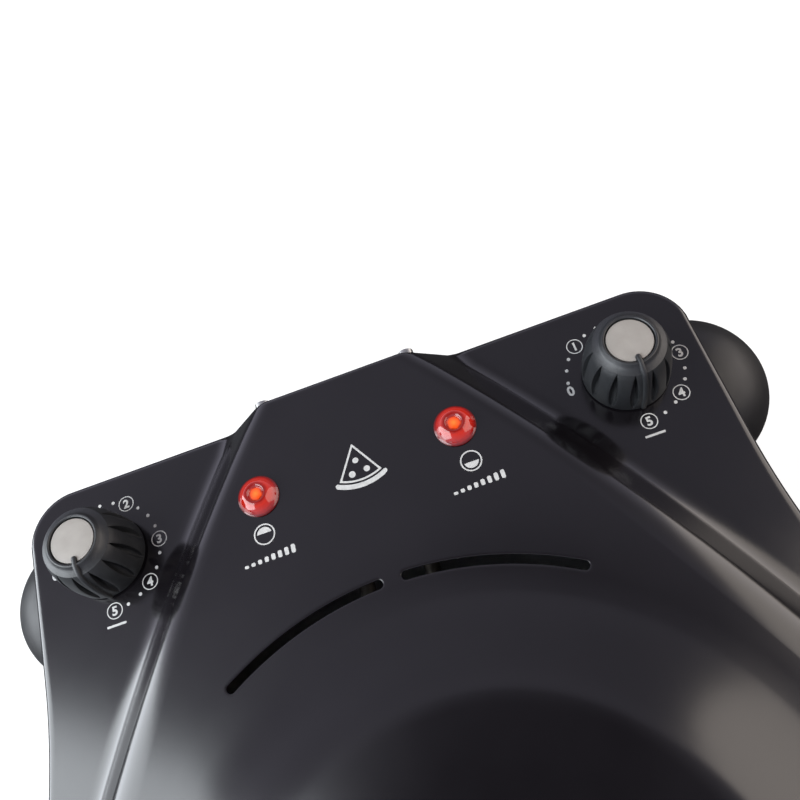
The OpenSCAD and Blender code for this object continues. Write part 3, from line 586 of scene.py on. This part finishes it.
def groove_edge(z):
    """Half width of a groove at a height: widest low down, closing above the foot and under the rim."""
    reach = min(1, max(0, (z - foot_z - 1.6) / (knob_h - 5.4)))
    return max(0.02, 1.6 * math.sin(math.pi * reach ** 0.8) ** 0.75)


def cut_groove(vert):
    """Moves a vertex of the plain spun side so that its column follows a groove."""
    z = vert.co.z
    r = vert.co.xy.length
    if z > top_z - 3.2 or r < 11.2:
        return
    turn = math.atan2(vert.co.y, vert.co.x) % FULL_TURN
    column = round(turn / FULL_TURN * GROOVES * COLUMNS)
    place = column % COLUMNS
    side = 1 if place <= COLUMNS / 2 else -1
    place = place if side > 0 else COLUMNS - place
    half = groove_edge(z)
    rib = math.pi * r / GROOVES - half - 0.4
    across = [0, 0.5 * half, 0.85 * half, half, half + 0.12, half + 0.4,
              half + 0.4 + rib * 0.35, half + 0.4 + rib * 0.7, half + 0.4 + rib][place]
    axis_r = min(r - 0.4, groove_foot_r - (z - foot_z - 3) * math.tan(groove_tilt))
    floor_r = axis_r - math.sqrt(max(0, half * half - across * across))
    sunk = r - floor_r if place < 3 else (0.34, 0.09, 0, 0, 0, 0)[place - 3]
    around = (column - side * place) / (GROOVES * COLUMNS) * FULL_TURN + side * across / r
    r -= sunk * min(1, half / 0.5)
    vert.co.x = r * math.cos(around)
    vert.co.y = r * math.sin(around)


def knob_mesh():
    """A knob with its pointer to the front; its underside is closed and flat."""
    outline = (
        [(0, foot_z), (16.9, foot_z), (17.6, foot_z + 0.15)]
        + [(side_r(z), z) for z in (foot_z + 0.35 + (knob_h - 3.6) * i / 22 for i in range(23))]
        + [(12.2, top_z - 2.3), (11.5, top_z - 1.4), (11.15, top_z - 0.7), (10.85, top_z - 0.2),
           (10.45, top_z), (10.05, top_z - 0.06), (9.75, top_z - 0.35), (9.65, top_z - 0.9),
           (9.65, top_z - 2.3), (0, top_z - 2.3)]
    )
    bm = turned_mesh(outline, 0, GROOVES * COLUMNS)
    for vert in bm.verts:
        cut_groove(vert)
    front = Matrix.Rotation(-math.pi / 2 - math.pi / GROOVES, 3, "Z")
    bmesh.ops.rotate(bm, verts=bm.verts, matrix=front)
    crest = [(6.9, top_z - 1.6), (6.9, top_z + 0.1), (7.3, top_z + 0.5), (10.6, top_z + 0.5),
             (11.9, top_z - 0.2)]
    crest += [(side_r(z) + 1.1, z) for z in (top_z - 2 - (knob_h - 3) * i / 14 for i in range(15))]
    crest += [(18.8, foot_z + 0.35), (18.3, foot_z + 0.05)]
    section = ((-1.25, 3.2), (-1.12, 1.3), (-0.98, 0.62), (-0.78, 0.22), (-0.45, 0.04), (0, 0),
               (0.45, 0.04), (0.78, 0.22), (0.98, 0.62), (1.12, 1.3), (1.25, 3.2))
    grid = bmesh.ops.create_grid(bm, x_segments=len(section) - 1, y_segments=len(crest) - 1, size=1)
    for vert in grid["verts"]:
        across, sink = section[round((vert.co.x + 1) / 2 * (len(section) - 1))]
        row = round((vert.co.y + 1) / 2 * (len(crest) - 1))
        before, after = crest[max(0, row - 1)], crest[min(len(crest) - 1, row + 1)]
        along = Vector((after[0] - before[0], after[1] - before[1])).normalized()
        r = crest[row][0] + along.y * sink
        z = max(foot_z + 0.05, crest[row][1] - along.x * sink)
        vert.co = (across, -r, z)
    rim = [e for e in bm.edges if len(e.link_faces) == 1]
    bmesh.ops.holes_fill(bm, edges=rim, sides=0)
    bmesh.ops.recalc_face_normals(bm, faces=bm.faces)
    return bm


# Soft grey plastic: matt, with a fine even grain and slightly polished spots.
knob_plastic, tree, shader = surface_of("grained_grey_plastic", {"IOR": 1.5})
blend_colours(tree, shader, spread(tree, 0.35, 3), 0.35, 0.7, "#1b1c1e", "#232527")
vary_roughness(tree, shader, spread(tree, 6), 0.4, 0.48)
grain(tree, shader, spread(tree, 0.32, 3), 0.03)

# Pale disc: a satin printed inlay with a faint turned finish.
disc_inlay, tree, shader = surface_of("pale_satin_inlay", {"Roughness": 0.42})
blend_colours(tree, shader, spread(tree, 5), 0.3, 0.7, "#938e88", "#9b9690")
grain(tree, shader, spread(tree, 0.5), 0.004)

for side, name in ((-1, "left"), (1, "right")):
    bm = knob_mesh()
    bmesh.ops.translate(bm, verts=bm.verts, vec=(side * knob_x, knob_y + axis_y, 0))
    finish(name + "_fluted_knob", bm, knob_plastic, name + "_knob",
           [name + "_knob"], 32)
    outline = [(0, -1.4), (9.1, -1.4), (9.15, -0.2), (9.05, -0.05), (8.8, 0), (4, 0.04), (0, 0.05)]
    bm = turned_mesh(outline, top_z - 0.6, 96)
    bmesh.ops.translate(bm, verts=bm.verts, vec=(side * knob_x, knob_y + axis_y, 0))
    bmesh.ops.recalc_face_normals(bm, faces=bm.faces)
    finish(name + "_knob_inlay", bm, disc_inlay, name + "_knob", [name + "_knob_disc"])

# ---------------------------------------------------------------------------------------------
# Pilot lamps: clear red moulded lenses that snap into the lid. Each has a dished middle over
# the glowing neon tube, a round crest and a sloping skirt with a thin seat on the sheet.
lens_low, lens_high = (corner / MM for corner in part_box("right_lamp_lens"))
lens_r = (lens_high.x - lens_low.x) / 2
lens_h = lens_high.z - middle_z

# Clear red acrylic: glossy, lit orange over the tube by the lamp's own glow. The base colour has painted
# shade in the dished ring round the middle, and the emission adds a painted glow on the outer crest ring
# that stands in for the lit rim.
red_lens, tree, shader = surface_of("clear_red_lens", {
    "Roughness": 0.09, "IOR": 1.49, "Transmission Weight": 0.45, "Coat Weight": 0.25,
    "Coat Roughness": 0.04, "Emission Strength": 0.75})
place = add(tree, "TexCoord")
split = add(tree, "SeparateXYZ", links={0: place.outputs["Object"]})
sideways = add(tree, "Math", {"operation": "ABSOLUTE"}, {0: split.outputs["X"]})
off_x = add(tree, "Math", {"operation": "SUBTRACT", 1: lamp_x * MM}, {0: sideways.outputs[0]})
off_y = add(tree, "Math", {"operation": "SUBTRACT", 1: (lamp_y + axis_y) * MM}, {0: split.outputs["Y"]})
offset = add(tree, "CombineXYZ", links={0: off_x.outputs[0], 1: off_y.outputs[0]})
centre_dist = add(tree, "VectorMath", {"operation": "LENGTH"}, {0: offset.outputs[0]})
reach = add(tree, "Math", {"operation": "DIVIDE", 1: lens_r * MM}, {0: centre_dist.outputs["Value"]})
smoke = spread(tree, 1.6)
uneven = add(tree, "Math", {"operation": "MULTIPLY_ADD", 1: 0.12, 2: -0.06}, {0: smoke.outputs["Fac"]})
reach = add(tree, "Math", {"operation": "ADD"}, {0: reach.outputs[0], 1: uneven.outputs[0]})
# Base colour by distance from the lens centre: red tones, with painted shade darkening the ring over the
# dished recess.
lens_tint_and_painted_shade_ring = add(tree, "ValToRGB", links={0: reach.outputs[0]})
lens_tint_and_painted_shade_ring.color_ramp.elements[0].position = 0.0
lens_tint_and_painted_shade_ring.color_ramp.elements[0].color = linear("#c4501e")
lens_tint_and_painted_shade_ring.color_ramp.elements[1].position = 1.0
lens_tint_and_painted_shade_ring.color_ramp.elements[1].color = linear("#3a0508")
for position, colour in ((0.27, "#b4361c"), (0.36, "#480809"), (0.46, "#3c0608"), (0.56, "#5c0c09"),
                         (0.78, "#600c0a"), (0.9, "#4c080a")):
    lens_tint_and_painted_shade_ring.color_ramp.elements.new(position).color = linear(colour)
tree.links.new(lens_tint_and_painted_shade_ring.outputs[0], shader.inputs["Base Color"])
# Emission by distance from the centre: the tube's orange glow in the middle, then painted light that
# brightens the outer crest ring.
lamp_glow_and_painted_rim_glow = add(tree, "ValToRGB", links={0: reach.outputs[0]})
lamp_glow_and_painted_rim_glow.color_ramp.elements[0].position = 0.0
lamp_glow_and_painted_rim_glow.color_ramp.elements[0].color = linear("#ff9030")
lamp_glow_and_painted_rim_glow.color_ramp.elements[1].position = 0.97
lamp_glow_and_painted_rim_glow.color_ramp.elements[1].color = linear("#5c0604")
for position, colour in ((0.24, "#ff5a1c"), (0.34, "#8c1408"), (0.48, "#a01609"), (0.62, "#dc2c14"),
                         (0.8, "#c0200e")):
    lamp_glow_and_painted_rim_glow.color_ramp.elements.new(position).color = linear(colour)
tree.links.new(lamp_glow_and_painted_rim_glow.outputs[0], shader.inputs["Emission Color"])

for side, name in ((-1, "left"), (1, "right")):
    outline = [(0, lens_h - 0.75), (1.4, lens_h - 0.8), (2.2, lens_h - 0.95), (2.7, lens_h - 1.05),
               (3.0, lens_h - 0.8), (3.25, lens_h - 0.3), (3.6, lens_h - 0.06), (4.0, lens_h),
               (4.5, lens_h - 0.1), (5.2, lens_h - 0.5), (6.0, lens_h - 1.15), (6.9, lens_h - 2.1),
               (7.6, lens_h - 3.05), (8.05, lens_h - 3.7), (8.4, 0.95), (lens_r, 0.75),
               (lens_r, 0.3), (8.4, 0.02), (6.1, 0.02), (6.1, -6), (0, -6)]
    bm = turned_mesh(outline, middle_z, 72)
    bmesh.ops.translate(bm, verts=bm.verts, vec=(side * lamp_x, lamp_y + axis_y, 0))
    bmesh.ops.recalc_face_normals(bm, faces=bm.faces)
    finish(name + "_pilot_lens", bm, red_lens, "lid", [name + "_lamp_lens"], 50)

# ---------------------------------------------------------------------------------------------
# Hinge: a black moulded block with round caps at its ends stands on the pan. Two zinc plated
# arms turn on pins inside it. The moulded pieces have a fine leather-like mould texture.
def carried(name, nodes, material, body, soften=0.35, sharp=35):
    """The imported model's own pieces, welded, with softened edges and smooth curved faces."""
    bm = bmesh.new()
    for node in nodes:
        bm.from_mesh(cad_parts[node].data)
    bmesh.ops.scale(bm, verts=bm.verts, vec=(1 / MM, 1 / MM, 1 / MM))
    bmesh.ops.remove_doubles(bm, verts=bm.verts, dist=0.002)
    bmesh.ops.dissolve_limit(bm, angle_limit=math.radians(0.3), verts=bm.verts, edges=bm.edges)
    if soften:
        bm = modified(bm, ("BEVEL", {"width": soften, "limit_method": "ANGLE", "segments": 3,
                                     "angle_limit": math.radians(sharp), "use_clamp_overlap": True}))
    obj = finish(name, bm, material, body, nodes, sharp)
    weighted = obj.modifiers.new("weighted", "WEIGHTED_NORMAL")
    weighted.keep_sharp = True
    return obj


# Moulded black plastic: a dull sheen broken up by a fine leather-like texture.
moulding, tree, shader = surface_of("moulded_black_plastic", {"IOR": 1.5, "Specular IOR Level": 0.36})
blend_colours(tree, shader, spread(tree, 12, 4), 0.3, 0.7, "#151517", "#1b1b1c")
vary_roughness(tree, shader, spread(tree, 9), 0.42, 0.5)
grain(tree, shader, spread(tree, 0.55, 3), 0.025)

# Zinc plated steel: cool grey, cloudy, with a half dull shine.
zinc_plate, tree, shader = surface_of("zinc_plated_steel", {"Metallic": 1.0})
blend_colours(tree, shader, spread(tree, 8, 4), 0.3, 0.7, "#8f9193", "#a9abab")
vary_roughness(tree, shader, spread(tree, 5, 4), 0.32, 0.46)
grain(tree, shader, spread(tree, 0.4), 0.003)

carried("hinge_block_moulding", ["hinge_block"], moulding, "base", 0.8)
carried("hinge_block_lid", ["hinge_block_cover"], moulding, "base")
carried("cord_sleeve_moulding", ["cord_bushing"], moulding, "base", 0.4)
for name in ("left", "right"):
    carried(name + "_cap_moulding", [name + "_hinge_cap"], moulding, "base", 0.6)
    carried(name + "_arm_pressing", [name + "_hinge_arm"], zinc_plate, "lid", 0.3)
carried("hinge_pin_pair", ["hinge_pins"], zinc_plate, "base", 0.3)

# ---------------------------------------------------------------------------------------------
# Base pan: deep-drawn steel in the lid's satin powder coat, on four moulded rubber feet that
# zinc plated screws hold.
carried("base_pan_pressing", ["base_shell"], powder_coat, "base", 0.3)

# Moulded rubber: nearly black and matt, with a coarse grain.
rubber, tree, shader = surface_of("moulded_rubber", {"IOR": 1.45})
blend_colours(tree, shader, spread(tree, 6, 4), 0.3, 0.7, "#222222", "#2d2c2b")
vary_roughness(tree, shader, spread(tree, 3), 0.72, 0.85)
grain(tree, shader, spread(tree, 0.5), 0.03)
carried("rubber_feet", ["feet"], rubber, "base", 0.8)

# Bright zinc on screws and nuts: a clean pale shine with faint clouds.
screw_zinc, tree, shader = surface_of("bright_zinc_screws", {"Metallic": 1.0})
blend_colours(tree, shader, spread(tree, 3, 3), 0.3, 0.7, "#a9a9a6", "#c3c3c0")
vary_roughness(tree, shader, spread(tree, 2), 0.25, 0.4)
grain(tree, shader, spread(tree, 0.3), 0.003)
for name, body in (("foot_screws", "base"), ("cover_screws", "lid"), ("arm_screws", "lid"),
                   ("handle_screws", "lid"), ("lamp_nuts", "lid")):
    carried(name + "_plated", [name], screw_zinc, body, 0.25)

# ---------------------------------------------------------------------------------------------
# Handle: a curved grip moulded in black heat-proof plastic on two turned aluminium posts.
carried("grip_moulding", ["handle_grip"], moulding, "lid", 0)
# Turned aluminium: pale, with a fine uneven shine from the cutting tool.
turned, tree, shader = surface_of("turned_aluminium", {"Metallic": 1.0})
blend_colours(tree, shader, spread(tree, 7, 3), 0.3, 0.7, "#b9babb", "#c9cacb")
vary_roughness(tree, shader, spread(tree, 1.2, 4), 0.24, 0.36)
grain(tree, shader, spread(tree, 0.35), 0.004)
carried("turned_posts", ["handle_posts"], turned, "lid", 0.5)

# ---------------------------------------------------------------------------------------------
# Oven inside: aluminised steel reflectors above and below, a fired cordierite stone on small
# rests, and two tubular heating elements, annealed dark, on bright clips.
# Aluminised sheet: bright and slightly mottled, as the dipped coat dries.
bright_sheet, tree, shader = surface_of("aluminised_sheet", {"Metallic": 1.0})
blend_colours(tree, shader, spread(tree, 14, 5), 0.3, 0.7, "#b4b5b5", "#cbcbca")
vary_roughness(tree, shader, spread(tree, 2.5, 5), 0.28, 0.42)
grain(tree, shader, spread(tree, 1.1, 3), 0.006)
for name, body in (("base_liner", "base"), ("lid_liner", "lid"), ("heat_shield", "lid"),
                   ("stone_rests", "base"), ("lower_element_saddles", "base"),
                   ("upper_element_hangers", "lid"), ("control_cover", "lid")):
    carried(name + "_sheet", [name], bright_sheet, body, 0.2)

# Fired cordierite: sandy beige, dry, with visible grit and small pits.
stone, tree, shader = surface_of("fired_cordierite", {"IOR": 1.5, "Specular IOR Level": 0.3})
blend_colours(tree, shader, spread(tree, 2.4, 8), 0.3, 0.72, "#95846a", "#b0a28b")
vary_roughness(tree, shader, spread(tree, 4), 0.8, 0.95)
grain(tree, shader, spread(tree, 1.0, 6), 0.18)
carried("cordierite_disc", ["baking_stone"], stone, "base", 1.5)

# Annealed heater tube: brown-grey and dull from the first heating.
tube_steel, tree, shader = surface_of("annealed_tube_steel", {"Metallic": 0.85})
blend_colours(tree, shader, spread(tree, 9, 5), 0.3, 0.7, "#4a4643", "#6b655f")
vary_roughness(tree, shader, spread(tree, 3, 4), 0.45, 0.62)
grain(tree, shader, spread(tree, 0.5, 3), 0.01)
carried("lower_tube", ["lower_element"], tube_steel, "base", 0)
carried("upper_tube", ["upper_element"], tube_steel, "lid", 0)

# ---------------------------------------------------------------------------------------------
# Electrical pieces behind the covers: steatite blocks and thermostats, silicone sleeved wires,
# lamp holders and brass spindles.
# Glazed steatite: warm white ceramic with a soft gloss.
steatite, tree, shader = surface_of("glazed_steatite", {"IOR": 1.55})
blend_colours(tree, shader, spread(tree, 5, 4), 0.3, 0.7, "#c4bdae", "#d2ccbf")
vary_roughness(tree, shader, spread(tree, 4), 0.22, 0.35)
grain(tree, shader, spread(tree, 0.8), 0.01)
for name, body in (("base_terminal_block", "base"), ("lid_terminal_block", "lid"),
                   ("left_thermostat", "lid"), ("right_thermostat", "lid")):
    carried(name + "_ceramic", [name], steatite, body, 0.4)

# Silicone sleeve: brick red, soft and slightly dull.
sleeve, tree, shader = surface_of("silicone_sleeve", {"IOR": 1.43})
blend_colours(tree, shader, spread(tree, 4, 3), 0.3, 0.7, "#8e2a20", "#a83a2c")
vary_roughness(tree, shader, spread(tree, 3), 0.5, 0.65)
grain(tree, shader, spread(tree, 0.5), 0.01)
carried("base_sleeved_wires", ["base_wiring"], sleeve, "base", 0)
carried("lid_sleeved_wires", ["lid_wiring"], sleeve, "lid", 0)
carried("left_lamp_socket", ["left_lamp_holder"], moulding, "lid", 0.3)
carried("right_lamp_socket", ["right_lamp_holder"], moulding, "lid", 0.3)

# Turned brass: warm yellow, shiny, with fine tool marks.
brass, tree, shader = surface_of("turned_brass", {"Metallic": 1.0})
blend_colours(tree, shader, spread(tree, 4, 4), 0.3, 0.7, "#b8934c", "#cfaa60")
vary_roughness(tree, shader, spread(tree, 1, 3), 0.25, 0.38)
grain(tree, shader, spread(tree, 0.3), 0.003)
for name in ("left", "right"):
    carried(name + "_turned_spindle", [name + "_spindle"], brass, name + "_knob", 0.3)
